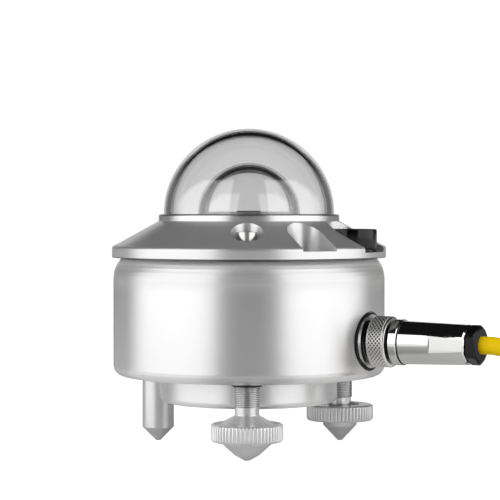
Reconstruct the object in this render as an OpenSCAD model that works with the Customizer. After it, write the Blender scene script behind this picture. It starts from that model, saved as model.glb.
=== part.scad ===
// Pyranometer with a double glass dome, levelling screws, bubble level and a screw-locked cable plug.
// Millimetres. Z is up. The origin is on the dome's axis, in the plane of the foot tips.

/* [Housing] */
// Diameter of the turned housing
body_d = 79.4; // [78:0.2:90]
// Height of the housing without its covers
body_h = 33.9; // [32:0.1:45]
// Metal between the chamber and the bushings of the feet
bushing_wall = 0.8; // [0.5:0.1:2]
// Thickness of the floor
floor_t = 5; // [4.5:0.1:7]
// Radius of the lower edge
edge_round = 2.8; // [1:0.1:4]
// Height of the curved shoulder under the top cover
shoulder_h = 5.7; // [3:0.1:8]
// How far the shoulder curves in
shoulder_in = 2.2; // [1:0.1:2.4]

/* [Base cover] */
// Height of the base cover's underside above the foot tips
ground_gap = 13.4; // [12.8:0.1:18]
// Gap between the base cover and the fixed foot
base_foot_gap = 1; // [0.6:0.1:1.6]
// Height of the base cover
base_h = 7.9; // [6.5:0.1:9]
// Radius of its lower edge
base_round = 1.6; // [0.5:0.1:2]
// Distance of its screws from its edge
base_screw_edge = 3.75; // [3.4:0.05:4.5]

/* [Top cover] */
// How far the cover's rim stands out past the housing
rim_overhang = 0.4; // [0:0.1:2]
// Height of the rim
rim_h = 3.6; // [2.6:0.1:4]
// Height of the cone above the rim
cone_h = 7; // [6.5:0.1:10]
// Gap line between rim and housing
seam_gap = 0.4; // [0.2:0.1:0.8]

/* [Domes] */
// Overlap of the dome ring on the cover
ring_overlap = 2.9; // [2:0.1:3.4]
// Size of the inner dome, as a share of the outer dome's
dome_share = 0.6; // [0.58:0.01:0.62]
// Thickness of the glass
dome_wall = 2; // [1.5:0.1:2.5]
// Lip of the dome ring round the outer dome
ring_lip = 1.45; // [1:0.05:2]
// Height of the dome ring above the cover
ring_h = 2; // [1.6:0.1:3.6]

/* [Detector] */
// Diameter of the black receiver disc
sensor_d = 7.2; // [6:0.1:7.4]
// Height of the thermopile
thermopile_h = 2.4; // [2:0.1:3]
// Diameter of the heat sink that carries the thermopile
sink_d = 22; // [21:0.5:24]
// Height of that heat sink
sink_h = 7; // [5:0.5:8]

/* [Level] */
// Distance of the level's centre from the housing's outside
level_inset = 7.2; // [6:0.1:7.4]
// Metal between the level's pocket and the dome ring
level_inner_wall = 1.65; // [1:0.05:2.4]
// Direction of the level
level_angle = -25; // [-27:1:-22]
// Diameter of the level's cup
level_d = 14.2; // [13:0.1:14.4]
// Height of the cup
level_h = 6.6; // [6:0.1:7.4]
// Diameter of the bubble
bubble_d = 3.8; // [3:0.1:4]
// How far the bubble moves each way
bubble_travel = 1.5; // [1:0.1:1.6]

/* [Feet] */
// Distance of the feet's centres from the housing's outside
foot_inset = 8.05; // [7.6:0.05:8.6]
// Diameter of the fixed foot
post_d = 9.5; // [8:0.1:10]
// Diameter of the levelling thread
thread_d = 7.6; // [7.4:0.1:7.8]
// Pitch of the levelling thread
pitch = 0.5; // [0.45:0.05:0.6]
// Diameter of the neck between thread and thumbwheel
neck_d = 6.8; // [6.4:0.1:6.9]
// Diameter of the thumbwheels
wheel_d = 20.1; // [18:0.1:21]
// Teeth of the straight knurl
wheel_teeth = 56; // [40:2:64]
// Depth of the knurl
knurl_depth = 0.45; // [0.2:0.05:0.6]
// Thickness of the front thumbwheel
front_wheel_h = 5; // [4.4:0.1:5.2]
// Thickness of the right thumbwheel
right_wheel_h = 4.8; // [4.2:0.1:5]

/* [Mounting] */
// Distance of the mounting bolts from the housing's outside
bolt_inset = 7.2; // [6.8:0.1:7.4]
// Diameter of the bolt holes
bolt_hole_d = 5.5; // [5:0.1:5.8]
// Width of the pockets for the bolt heads
bolt_pocket_w = 10.8; // [10.4:0.1:12.4]
// Direction of the first bolt
bolt_angle = -60.5; // [-62:0.5:-58]

/* [Connector] */
// Height of the connector's axis above the foot tips
socket_z = 32.3; // [31.5:0.1:34]
// Direction of the connector
socket_angle = -30; // [-31:1:-29]
// Diameter of the black sealing ring
socket_seal_d = 16.3; // [15.8:0.1:17]
// Diameter of the knurled coupling nut
nut_d = 14.5; // [14.2:0.1:15.2]
// Length of the coupling nut
nut_l = 5.5; // [5.4:0.1:5.8]
// Diameter of the plug's shell at the nut
shell_d = 12.2; // [11.8:0.1:12.4]
// Diameter of the plug's shell at the gland nut
shell_end_d = 11.2; // [10.9:0.1:11.4]
// Length of the plug's shell
shell_l = 19.7; // [18:0.1:24]
// Width of the gland nut across its flats
gland_w = 10.2; // [9.6:0.1:10.4]

/* [Cable] */
// Diameter of the cable
cable_d = 5; // [4.6:0.1:5]
// Loops in one layer of the coil
loops_per_layer = 5; // [5:1:5]
// Layers of the coil
layers = 4; // [4:2:4]

/* [Fits] */
// Gap between parts that sit in each other
fit_gap = 0.05; // [0.03:0.01:0.08]
// Gap between parts that turn or slide
run_gap = 0.1; // [0.08:0.01:0.14]
// Thread diameter of the small screws
screw_d = 3; // [2.8:0.1:3]
// Head diameter of the small screws
screw_head_d = 5.5; // [5:0.1:5.6]
// Head height of the small screws
screw_head_h = 3; // [2.6:0.1:3]

/* [Hidden] */

// Exact round faces need a count above twelve
$fn = 64;
// Straight pieces in a rounded edge
edge_steps = 5;
// Cuts run past the faces that they open by this much
over = 1;

// Room round loosely fitted parts
fit_room = 1;

// Heights of the main faces
body_r = body_d / 2;
body_z0 = ground_gap + base_h;
body_z1 = body_z0 + body_h;
shoulder_r = (pow(shoulder_in, 2) + pow(shoulder_h, 2)) / (2 * shoulder_in);
shoulder_sweep = asin(shoulder_h / shoulder_r);
chamber_z0 = body_z0 + floor_t;
rim_r = body_r + rim_overhang;
rim_edge_w = 1;
ring_edge = 0.6;
level_r = body_r - level_inset;
level_pocket_r = level_d / 2 + 1.5 * run_gap;
cover_bore_r = level_r - level_pocket_r - level_inner_wall;
spigot_r = cover_bore_r - fit_gap;
ring_r = spigot_r + ring_overlap;
outer_dome_d = 2 * (ring_r - ring_lip);
inner_dome_d = dome_share * outer_dome_d;
cone_r = rim_r - rim_edge_w;
cone_z0 = body_z1 + seam_gap + rim_h;
cone_z1 = cone_z0 + cone_h;
cone_top_r = ring_r;

// Dome ring and what it carries
ring_z1 = cone_z1 + ring_h;
spigot_l = 5;
gasket_t = 0.3;
dome_seat_depth = 1.6;
dome_seat_z = ring_z1 - dome_seat_depth;
dome_seat_w = 0.65;
ring_bore_r = outer_dome_d / 2 - dome_wall - dome_seat_w;
ledge_w = 1.6;
ledge_t = 2;
plate_rest_z = cone_z1 - spigot_l + ledge_t;
plate_t = 2.2;
plate_skirt_w = 1.4;
plate_r = ring_bore_r - fit_gap;
inner_seat_depth = 1.2;
pedestal_h = 0.7;
pedestal_r = inner_dome_d / 2 - dome_wall - run_gap;
pedestal_z = ring_z1 + pedestal_h;
sink_z1 = ring_z1 - plate_t;
sink_z0 = sink_z1 - sink_h;
sink_screw_r = 8;
lead_r = 0.4;
lead_circle_r = 5;
disc_rise = 0.5;
disc_t = 0.25;
thermopile_z1 = sink_z1 + thermopile_h + disc_rise;

// From the housing's outside inwards: feet, base cover with its screws and seal, and chamber
foot_r = body_r - foot_inset;
bushing_t = 0.5;
bolt_r = body_r - bolt_inset;
bushing_r = thread_d / 2 + bushing_t;
base_r = foot_r - post_d / 2 - base_foot_gap;
base_screw_r = base_r - base_screw_edge;
seal_t = 1.2;
seal_gap = 0.02;
base_seal_r = base_screw_r - run_gap - screw_head_d / 2 - seal_t / 2;
opening_r = base_seal_r - 1.5 * seal_t;
chamber_r = foot_r - bushing_r - fit_gap - bushing_wall;
cover_seal_r = chamber_r + 1.5 * seal_t;

// Places round the axis, as turns from the X axis
front_angle = -91;
right_angle = 30;
left_angle = 150;
cover_screw_r = foot_r;
base_screw_angles = [45, 135, 225, 315];
standoff_angles = [15, 105, 195, 285];

// Circuit board
board_r = chamber_r - 1.5 * fit_room;
board_t = 1.6;
standoff_h = 20;
standoff_d = 5;
standoff_r = board_r - standoff_d / 2 - fit_room;
board_z0 = chamber_z0 + standoff_h;
board_z1 = board_z0 + board_t;
small_screw_d = 2.5;
small_head_d = 4.5;
small_head_h = 2.5;

// Screws of the top cover
screw_pocket_d = 9;
screw_sink = 0.05;
screw_pocket_z = cone_z(cover_screw_r) - screw_head_h - screw_sink;
cover_screw_l = 11;

// Pockets of the top cover
bolt_pocket_z = cone_z0 - rim_h / 3;
level_z = cone_z0 - rim_h / 2;

// Level
level_wall = 1.4;
level_floor = 1.2;
level_glass_r = level_d / 2 - level_wall - fit_gap;
level_glass_z0 = level_z + level_floor;
level_lip = 0.3;
level_glass_z1 = level_z + level_h - level_lip;
level_lens_t = 0.7;
level_base_t = 0.5;
level_fluid_r = level_glass_r - level_lens_t;
bubble_h = 0.9;
level_screw_head_d = 4;
level_screw_head_h = 1.3;
level_screw_sink = 0.1;
level_screw_d = 2;

// Feet
tip_flat_r = 0.7;
thread_depth = 0.6 * pitch;
bushing_l = 10.2;
bushing_stand = 0.65;
spindle_room = 4.5;
spindle_top = body_z0 + bushing_l + pitch;
post_stud_d = 6;
post_stud_l = 9;
pin_d = 4;
pin_l = 3.8;
front_wheel_z = 5.3;
front_thread_z = 14.9;
front_neck_z = 12.6;
front_flare_r = 7.3;
front_cone_r = 7.2;
front_cone_z = 4.9;
front_blunt_r = 3.4;
front_blunt_z = 1.45;
right_wheel_z = 6.1;
right_thread_z = 13.1;
right_recess_r = 6;
right_recess_t = 0.6;
right_collar_r = 5.3;
right_cone_r = 4.95;
right_cone_z = 4.5;
wheel_round = 0.9;
rim_share = 0.7;
low_round = rim_share * wheel_round;

// Connector, as distances from the main axis
socket_seat_t = 1;
socket_face = body_r - socket_seat_t;
socket_seat_room = 0.3;
socket_seat_d = socket_seal_d + 2 * socket_seat_room;
socket_reach = 2.5;
socket_in = chamber_r - socket_reach;
socket_barrel_r = 6;
socket_flange_r = 7.6;
socket_flange_t = 1.6;
socket_seal_t = 0.6;
socket_flange_x = socket_face + socket_flange_t;
socket_bore_r = 4.9;
socket_thread_l = 4.8;
socket_thread_bare = 1.3;
socket_end = socket_flange_x + socket_thread_l;
nut_start = socket_flange_x + socket_thread_bare;
nut_end = nut_start + nut_l;
nut_lip = 0.8;
plug_seal_t = 0.7;
plug_front = socket_end + plug_seal_t;
plug_collar_r = 5.8;
plug_neck_r = 5.2;
ring_gap = 0.8;
ring_start = nut_end + ring_gap;
plug_ring_l = 2.5;
ring_back_gap = 0.4;
plug_ring_r = 6.5;
shell_start = ring_start + plug_ring_l + ring_back_gap;
shell_end = shell_start + shell_l;
shell_bore_r = 4;
flat_share = 0.47;
flat_r = 5.35;
contact_circle_r = 2.75;
contacts = 7;
contact_r = 0.4;
plug_insert_r = socket_bore_r - 1.5 * run_gap;
plug_insert_reach = 3.2;
plug_insert_l = 5;
plug_insert_in = socket_end - plug_insert_reach;
plug_insert_end = plug_front + plug_insert_l;
gland_gap = 0.5;
gland_start = shell_end + gland_gap;
gland_l = 2.7;
gland_end = gland_start + gland_l;
gland_neck_l = 4.5;
gland_bore_r = cable_d / 2 + run_gap;
grommet_l = 4;

// Cable: points of the free stretch, as along the plug, to its left, and above the foot tips
cable_r = cable_d / 2;
run_sides = 12;
coil_sides = 6;
cable_route = [[-8, 0, 32.3], [0, 0, 32.3], [4, 0, 32.2], [14.5, 0, 29.8], [23, 0.5, 22.8], [29, 1, 13],
    [37.5, 2.5, 6], [47, 5.5, 3.5], [56.5, 9.5, 3.5]];
// Points of the end that lies on the coil, as forward, to the left and up from the coil's end
tail_route = [[0, 0, 0], [4, 0.2, 0.2], [11, 2, 1.2], [21.5, 7, 3.2], [29.5, 15.5, 5], [35, 25.5, 5.8],
    [37.5, 36, 5.8], [37.5, 47, 5.8], [35, 57, 5.8], [32, 69, 5.8]];
coil_r = 50.5;
coil_pitch = 5.6;
loop_rings = 24;
tie_w = 9;
tie_t = 0.8;
tie_room = 0.2;
tie_angles = [170, 300];
sleeve_l = 14;
sleeve_t = 0.5;
core_r = 0.55;
core_l = 20;
core_spread = 1.1;
cores = 5;
ferrule_r = 0.6;
ferrule_l = 8;

// Height of the cone at a distance from the axis
function cone_z(r) = cone_z1 - (r - cone_top_r) * cone_h / (cone_r - cone_top_r);

// Points of an arc about a centre
function arc(c, r, a0, a1, n = edge_steps) =
    [for (i = [0 : n]) c + r * [cos(a0 + (a1 - a0) * i / n), sin(a0 + (a1 - a0) * i / n)]];

// Crests and roots of a thread that is drawn as rings, from a height up
function thread_points(z, turns) = [for (i = [0 : turns - 1]) each [
    [thread_d / 2, z + i * pitch + pitch / 8],
    [thread_d / 2 - thread_depth, z + (i + 0.5) * pitch],
    [thread_d / 2, z + (i + 1) * pitch - pitch / 8]]];

module turned(points) {
    rotate_extrude() polygon(points);
}

// Puts a shape at a direction and distance from the main axis
module at(angle, r, z = 0) {
    rotate([0, 0, angle]) translate([r, 0, z]) children();
}

// Lays a shape's Z axis along the connector, with its origin on the main axis
module on_socket() {
    translate([0, 0, socket_z]) rotate([0, 0, socket_angle]) rotate([0, 90, 0]) children();
}

// Tube between two distances along its axis
module tube(r_out, r_in, z0, z1) {
    difference() {
        translate([0, 0, z0]) cylinder(r = r_out, h = z1 - z0);
        translate([0, 0, z0 - over]) cylinder(r = r_in, h = z1 - z0 + 2 * over);
    }
}

module hole(r, z0, z1) {
    translate([0, 0, z0]) cylinder(r = r, h = z1 - z0);
}

// Cap screw with its head's underside at zero and its shank pointing down
module cap_screw(d, l, head_d, head_h) {
    difference() {
        union() {
            cylinder(d = head_d, h = head_h);
            translate([0, 0, -l]) cylinder(d = d, h = l + head_h / 2);
        }
        translate([0, 0, head_h / 2]) cylinder(d = head_d / 2, h = head_h, $fn = 6);
    }
}

// O-ring of a given cord diameter round the main axis
module o_ring(r, z, cord) {
    rotate_extrude() translate([r, z]) circle(d = cord, $fn = 24);
}

module groove(r, w, z0, z1) {
    tube(r + w / 2, r - w / 2, z0, z1);
}

// Housing and covers

module housing() color("silver") difference() {
    turned(concat([[0, body_z0]],
        arc([body_r - edge_round, body_z0 + edge_round], edge_round, -90, 0),
        arc([body_r - shoulder_r, body_z1 - shoulder_h], shoulder_r, 0, shoulder_sweep),
        [[0, body_z1]]));
    hole(chamber_r, chamber_z0, body_z1 + over);
    hole(opening_r, body_z0 - over, chamber_z0 + over);
    translate([0, 0, body_z1]) groove(cover_seal_r, seal_t, -seal_t, over);
    groove(base_seal_r, seal_t, body_z0 - over, body_z0 + seal_t);
    for (a = [front_angle, right_angle, left_angle]) at(a, cover_screw_r)
        hole(screw_d / 2 + fit_gap, body_z1 - cover_screw_l, body_z1 + over);
    for (a = [bolt_angle, bolt_angle + 180]) at(a, bolt_r)
        hole(bolt_hole_d / 2, body_z0 - over, body_z1 + over);
    for (a = [front_angle, right_angle]) at(a, foot_r) {
        hole(bushing_r + fit_gap, body_z0 - over, body_z0 + bushing_l);
        hole(thread_d / 2 + 3 * run_gap, body_z0, spindle_top + spindle_room);
    }
    at(left_angle, foot_r) hole(post_stud_d / 2 + fit_gap, body_z0 - over, body_z0 + post_stud_l + fit_room);
    for (a = base_screw_angles) at(a, base_screw_r)
        hole(screw_d / 2 + fit_gap, body_z0 - over, body_z0 + floor_t - fit_gap);
    on_socket() {
        hole(socket_barrel_r + fit_gap, 0, body_r);
        hole(socket_seat_d / 2, socket_face, body_r + over);
    }
    for (a = standoff_angles) at(a, standoff_r)
        hole(small_screw_d / 2 + fit_gap, chamber_z0 - floor_t / 2, chamber_z0 + over);
}

base_spigot_h = 2;
base_spigot_wall = 2.5;
cartridge_r = opening_r - base_spigot_wall;
cartridge_z0 = ground_gap + base_h / 3;
cartridge_h = 11;
cartridge_slot_w = 1.6;
cartridge_wall = 1.2;
cartridge_slots = 16;

module base_cover() color("lightgray") difference() {
    turned(concat([[0, ground_gap]],
        arc([base_r - base_round, ground_gap + base_round], base_round, -90, 0),
        [[base_r, body_z0], [opening_r - run_gap, body_z0],
        [opening_r - run_gap, body_z0 + base_spigot_h], [0, body_z0 + base_spigot_h]]));
    hole(cartridge_r + fit_gap, cartridge_z0, body_z0 + base_spigot_h + over);
    for (a = base_screw_angles) at(a, base_screw_r) {
        hole(screw_d / 2 + run_gap, ground_gap - over, body_z0 + over);
        hole(screw_head_d / 2 + run_gap, ground_gap - over, ground_gap + screw_head_h + screw_sink);
    }
}

module base_seal() color("black") o_ring(base_seal_r, body_z0 + seal_t / 2, seal_t - 2 * seal_gap);

module base_screws() color("gainsboro") for (a = base_screw_angles)
    at(a, base_screw_r, ground_gap + screw_head_h + screw_sink) mirror([0, 0, 1])
        cap_screw(screw_d, base_h + floor_t - screw_head_h - 2 * screw_sink, screw_head_d, screw_head_h);

// Plastic cartridge of drying agent, with slots that let the air through
module drying_cartridge() color("white") difference() {
    hole(cartridge_r, cartridge_z0, cartridge_z0 + cartridge_h);
    hole(cartridge_r - cartridge_wall, cartridge_z0 + cartridge_wall, cartridge_z0 + cartridge_h - cartridge_wall);
    for (i = [0 : cartridge_slots - 1]) rotate([0, 0, 360 * i / cartridge_slots])
        translate([cartridge_r - 2 * cartridge_wall, -cartridge_slot_w / 2, body_z0 + base_spigot_h + cartridge_wall])
            cube([3 * cartridge_wall, cartridge_slot_w, cartridge_z0 + cartridge_h - body_z0 - base_spigot_h
                - 2.5 * cartridge_wall]);
}

// Pocket with a round inner end, open towards the rim
module rim_pocket(r, w, z) {
    translate([r, 0, z]) cylinder(d = w, h = cone_z1 - z + over);
    translate([r, -w / 2, z]) cube([rim_r - r + over, w, cone_z1 - z + over]);
}

module top_cover() color("silver") difference() {
    turned(concat([[cover_bore_r, body_z1], [body_r - shoulder_in, body_z1],
        [body_r - shoulder_in, body_z1 + seam_gap], [rim_r - seam_gap / 2, body_z1 + seam_gap],
        [rim_r, body_z1 + 1.5 * seam_gap]],
        arc([rim_r - rim_edge_w, cone_z0 - rim_edge_w], rim_edge_w, 0, 90),
        [[cone_top_r, cone_z1], [cover_bore_r, cone_z1]]));
    for (a = [bolt_angle, bolt_angle + 180]) rotate([0, 0, a]) {
        rim_pocket(bolt_r, bolt_pocket_w, bolt_pocket_z);
        translate([bolt_r, 0, 0]) hole(bolt_hole_d / 2, body_z1 - over, cone_z1);
    }
    rotate([0, 0, level_angle]) {
        rim_pocket(level_r, 2 * level_pocket_r, level_z);
        translate([level_r, 0, 0]) {
            hole(level_screw_d / 2 + run_gap, body_z1 - over, cone_z1);
            hole(level_screw_head_d / 2 + run_gap, body_z1 - over, body_z1 + level_screw_head_h + level_screw_sink);
        }
    }
    for (a = [front_angle, right_angle, left_angle]) at(a, cover_screw_r) {
        hole(screw_d / 2 + run_gap, body_z1 - over, cone_z1);
        hole(screw_pocket_d / 2, screw_pocket_z, cone_z1 + over);
    }
}

module cover_seal() color("black") o_ring(cover_seal_r, body_z1 - seal_t / 2, seal_t - 2 * seal_gap);

module cover_screws() color("gainsboro") for (a = [front_angle, right_angle, left_angle])
    at(a, cover_screw_r, screw_pocket_z)
        cap_screw(screw_d, screw_pocket_z - body_z1 + cover_screw_l - fit_room, screw_head_d, screw_head_h);

// Domes and detector

dome_ring_seal_z = cone_z1 - spigot_l / 2;

module dome_ring() color("gainsboro") difference() {
    turned(concat([[ring_bore_r - ledge_w, cone_z1 - spigot_l], [spigot_r, cone_z1 - spigot_l],
        [spigot_r, cone_z1], [ring_r, cone_z1]],
        arc([ring_r - ring_edge, ring_z1 - ring_edge], ring_edge, 0, 90),
        [[outer_dome_d / 2 + fit_gap, ring_z1], [outer_dome_d / 2 + fit_gap, dome_seat_z],
        [ring_bore_r, dome_seat_z], [ring_bore_r, plate_rest_z], [ring_bore_r - ledge_w, plate_rest_z]]));
    groove(spigot_r, 2 * seal_t, dome_ring_seal_z - seal_t / 2, dome_ring_seal_z + seal_t / 2);
}

module dome_ring_seal() color("black")
    o_ring(spigot_r - seal_t / 2 + seal_gap, dome_ring_seal_z, seal_t - 2 * seal_gap);

module outer_dome_gasket() color("black")
    tube(outer_dome_d / 2 - fit_gap, outer_dome_d / 2 - dome_wall + fit_gap, dome_seat_z, dome_seat_z + gasket_t);

// Hemisphere of glass on a short skirt
module dome(d, z_low) {
    difference() {
        union() {
            intersection() {
                translate([0, 0, ring_z1]) sphere(d = d);
                hole(d, ring_z1, ring_z1 + d);
            }
            hole(d / 2, z_low, ring_z1);
        }
        translate([0, 0, ring_z1]) sphere(d = d - 2 * dome_wall);
        hole(d / 2 - dome_wall, z_low - over, ring_z1);
    }
}

module outer_dome() color([0.85, 0.92, 0.95, 0.4]) dome(outer_dome_d, dome_seat_z + gasket_t);

module inner_dome_gasket() color("black")
    tube(inner_dome_d / 2 - fit_gap, inner_dome_d / 2 - dome_wall + fit_gap,
        ring_z1 - inner_seat_depth, ring_z1 - inner_seat_depth + gasket_t);

module inner_dome() color([0.85, 0.92, 0.95, 0.4])
    dome(inner_dome_d, ring_z1 - inner_seat_depth + gasket_t);

// Light plate that closes the dome ring and carries the inner dome and the detector
module detector_plate() color("whitesmoke") difference() {
    turned([[thermopile_r + run_gap, sink_z1], [plate_r - plate_skirt_w, sink_z1],
        [plate_r - plate_skirt_w, plate_rest_z], [plate_r, plate_rest_z], [plate_r, ring_z1],
        [inner_dome_d / 2 + run_gap, ring_z1], [inner_dome_d / 2 + run_gap, ring_z1 - inner_seat_depth],
        [pedestal_r, ring_z1 - inner_seat_depth], [pedestal_r, pedestal_z],
        [thermopile_r + run_gap, pedestal_z]]);
    for (a = [0, 180]) at(a, sink_screw_r) hole(small_screw_d / 2 + fit_gap, sink_z1 - over, sink_z1 + plate_t / 2);
}

thermopile_r = sensor_d / 2 + run_gap;

module heat_sink() color("darkgray") difference() {
    hole(sink_d / 2, sink_z0, sink_z1);
    for (a = [0, 180]) at(a, sink_screw_r) hole(small_screw_d / 2 + run_gap, sink_z0 - over, sink_z1 + over);
    for (a = [45, 135, 225, 315]) at(a, lead_circle_r) hole(lead_r + run_gap, sink_z0 - over, sink_z0 + sink_h / 2);
}

module heat_sink_screws() color("gainsboro") for (a = [0, 180])
    at(a, sink_screw_r, sink_z0) mirror([0, 0, 1])
        cap_screw(small_screw_d, sink_h + plate_t / 2 - fit_gap, small_head_d, small_head_h);

module thermopile() color("tan") hole(thermopile_r, sink_z1, thermopile_z1);

module sensor_disc() color([0.04, 0.04, 0.04]) hole(sensor_d / 2, thermopile_z1, thermopile_z1 + disc_t);

module compensation_disc() color([0.1, 0.1, 0.1]) hole(sensor_d / 2, sink_z0 - disc_t, sink_z0);

module sensor_leads() color("goldenrod") for (a = [45, 135, 225, 315])
    at(a, lead_circle_r) hole(lead_r, board_z1, sink_z0 + sink_h / 2 - fit_gap);

// Electronics

module circuit_board() color("darkgreen") difference() {
    hole(board_r, board_z0, board_z1);
    for (a = standoff_angles) at(a, standoff_r) hole(small_screw_d / 2 + run_gap, board_z0 - over, board_z1 + over);
}

// Places and sizes of the components, as shares of the board's radius; the last share is the height
component_shares = [[-0.4, -0.2, 0.4, 0.4, 0.06], [0.22, 0.3, 0.3, 0.22, 0.07], [-0.4, 0.45, 0.25, 0.16, 0.08],
    [0.36, -0.42, 0.24, 0.3, 0.2], [-0.1, -0.62, 0.3, 0.16, 0.1], [0.55, 0.05, 0.14, 0.2, 0.12]];

module board_components() color("dimgray") {
    for (c = component_shares)
        translate([board_r * c[0] - board_r * c[2] / 2, board_r * c[1] - board_r * c[3] / 2, board_z1])
            cube([board_r * c[2], board_r * c[3], board_r * c[4]]);
}

module board_standoffs() color("gold") for (a = standoff_angles) at(a, standoff_r) difference() {
    union() {
        hole(standoff_d / 2, chamber_z0, board_z0);
        hole(small_screw_d / 2, chamber_z0 - floor_t / 2 + fit_gap, chamber_z0 + over);
    }
    hole(small_screw_d / 2 + fit_gap, board_z0 - standoff_h / 3, board_z0 + over);
}

module board_screws() color("gainsboro") for (a = standoff_angles)
    at(a, standoff_r, board_z1) cap_screw(small_screw_d, board_t + standoff_h / 4, small_head_d, small_head_h);

// Level

module level_cup() color([0.06, 0.06, 0.07]) rotate([0, 0, level_angle]) translate([level_r, 0, 0]) difference() {
    hole(level_d / 2, level_z, level_z + level_h);
    hole(level_glass_r + fit_gap, level_glass_z0, level_z + level_h + over);
    hole(level_screw_d / 2 + fit_gap, level_z - over, level_glass_z0 - fit_gap);
}

module level_glass() color([0.8, 0.9, 0.8, 0.5]) at(level_angle, level_r) difference() {
    hole(level_glass_r, level_glass_z0, level_glass_z1);
    hole(level_fluid_r + seal_gap, level_glass_z0 + level_base_t, level_glass_z1 - level_lens_t);
}

// The liquid leaves room for the bubble's whole travel
module level_fluid() color([0.7, 0.85, 0.2, 0.6]) at(level_angle, level_r) difference() {
    hole(level_fluid_r, level_glass_z0 + level_base_t + seal_gap, level_glass_z1 - level_lens_t - seal_gap);
    for (x = [-bubble_travel, bubble_travel]) translate([x, 0, 0])
        hole(bubble_d / 2 + run_gap, level_glass_z1 - level_lens_t - bubble_h - run_gap, level_glass_z1);
    translate([-bubble_travel, -bubble_d / 2 - run_gap, level_glass_z1 - level_lens_t - bubble_h - run_gap])
        cube([2 * bubble_travel, bubble_d + 2 * run_gap, level_lens_t + bubble_h + run_gap]);
}

module level_bubble() color([0.95, 0.97, 0.9, 0.6]) at(level_angle, level_r)
    hole(bubble_d / 2, level_glass_z1 - level_lens_t - bubble_h, level_glass_z1 - level_lens_t - seal_gap);

module level_screw() color("gainsboro")
    at(level_angle, level_r, body_z1 + level_screw_head_h + level_screw_sink) mirror([0, 0, 1])
        cap_screw(level_screw_d, level_z + level_floor / 2 - body_z1 - level_screw_head_h - level_screw_sink,
            level_screw_head_d, level_screw_head_h);

// Feet

module fixed_foot() color("silver") at(left_angle, foot_r) turned([[0, 0], [tip_flat_r, 0],
    [post_d / 2, post_d / 2 - tip_flat_r], [post_d / 2, body_z0], [post_stud_d / 2, body_z0],
    [post_stud_d / 2, body_z0 + post_stud_l], [0, body_z0 + post_stud_l]]);

module foot_bushings() color("darkgray") for (a = [front_angle, right_angle]) at(a, foot_r)
    tube(bushing_r, thread_d / 2 + run_gap, body_z0 - bushing_stand, body_z0 + bushing_l);

// Trims a screw's turned shape to the straight knurl, a star that only the wheel reaches
module knurled(z) {
    r = [wheel_d / 2, wheel_d / 2 - knurl_depth];
    intersection() {
        translate([0, 0, z - over]) linear_extrude(spindle_top - z + 2 * over)
            polygon([for (i = [0 : 2 * wheel_teeth - 1])
                r[i % 2] * [cos(180 * i / wheel_teeth), sin(180 * i / wheel_teeth)]]);
        children();
    }
}

// Outline of the neck's upper end and the thread, up to the axis
function spindle_points(z) = let (turns = floor((spindle_top - z) / pitch))
    concat([[neck_d / 2, z]], thread_points(z, turns), [[0, z + turns * pitch]]);

module pin_hole(z) {
    hole(pin_d / 2 + run_gap, z - over, z + pin_l);
}

module front_foot_screw() color("silver") at(front_angle, foot_r) difference() {
    knurled(front_wheel_z) turned(concat([[0, front_wheel_z], [wheel_d / 2 - low_round, front_wheel_z],
        [wheel_d / 2 + knurl_depth, front_wheel_z + low_round + knurl_depth],
        [wheel_d / 2 + knurl_depth, front_wheel_z + front_wheel_h - wheel_round - knurl_depth / rim_share],
        [wheel_d / 2 - low_round, front_wheel_z + front_wheel_h],
        [front_flare_r, front_wheel_z + front_wheel_h + wheel_round / 6], [neck_d / 2, front_neck_z]],
        spindle_points(front_thread_z)));
    pin_hole(front_wheel_z);
}

module front_foot_tip() color("silver") at(front_angle, foot_r) turned([[0, 0], [tip_flat_r, 0],
    [front_blunt_r, front_blunt_z], [front_cone_r, front_cone_z], [front_cone_r, front_wheel_z - run_gap],
    [pin_d / 2, front_wheel_z - run_gap], [pin_d / 2, front_wheel_z + pin_l - 2 * run_gap],
    [0, front_wheel_z + pin_l - 2 * run_gap]]);

module right_foot_screw() color("silver") at(right_angle, foot_r) difference() {
    knurled(right_wheel_z) turned(concat([[0, right_wheel_z], [wheel_d / 2 - low_round, right_wheel_z],
        [wheel_d / 2 + knurl_depth, right_wheel_z + low_round + knurl_depth],
        [wheel_d / 2 + knurl_depth, right_wheel_z + right_wheel_h - low_round - knurl_depth],
        [wheel_d / 2 - low_round, right_wheel_z + right_wheel_h],
        [right_recess_r, right_wheel_z + right_wheel_h],
        [right_recess_r, right_wheel_z + right_wheel_h - right_recess_t],
        [neck_d / 2, right_wheel_z + right_wheel_h - right_recess_t]], spindle_points(right_thread_z)));
    pin_hole(right_wheel_z);
}

module right_foot_tip() color("silver") at(right_angle, foot_r) turned([[0, 0], [tip_flat_r, 0],
    [right_cone_r, right_cone_z], [right_collar_r, right_wheel_z - run_gap],
    [pin_d / 2, right_wheel_z - run_gap], [pin_d / 2, right_wheel_z + pin_l - 2 * run_gap],
    [0, right_wheel_z + pin_l - 2 * run_gap]]);

// Connector

module socket_shell() color("gainsboro") on_socket() difference() {
    union() {
        hole(socket_barrel_r, socket_in, socket_face + fit_gap);
        hole(socket_flange_r, socket_face, socket_flange_x);
        hole(nut_bore_r - run_gap, socket_face, socket_end);
    }
    hole(socket_bore_r, socket_in - over, socket_end + over);
}

nut_bore_r = socket_barrel_r;

module socket_seal() color("black") on_socket()
    tube(socket_seal_d / 2, socket_flange_r + fit_gap, socket_face, socket_face + socket_seal_t);

module socket_insert() color([0.1, 0.1, 0.1]) on_socket() difference() {
    hole(socket_bore_r - fit_gap, socket_in + fit_room, plug_insert_in - 2 * fit_room);
    contact_places() hole(contact_r + fit_gap, socket_in, plug_insert_in);
}

module contact_places() {
    children();
    for (i = [0 : contacts - 1]) rotate([0, 0, 360 * i / contacts]) translate([contact_circle_r, 0, 0]) children();
}

module socket_pins() color("gold") on_socket() contact_places() hole(contact_r, socket_in, socket_end - fit_room);

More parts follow.
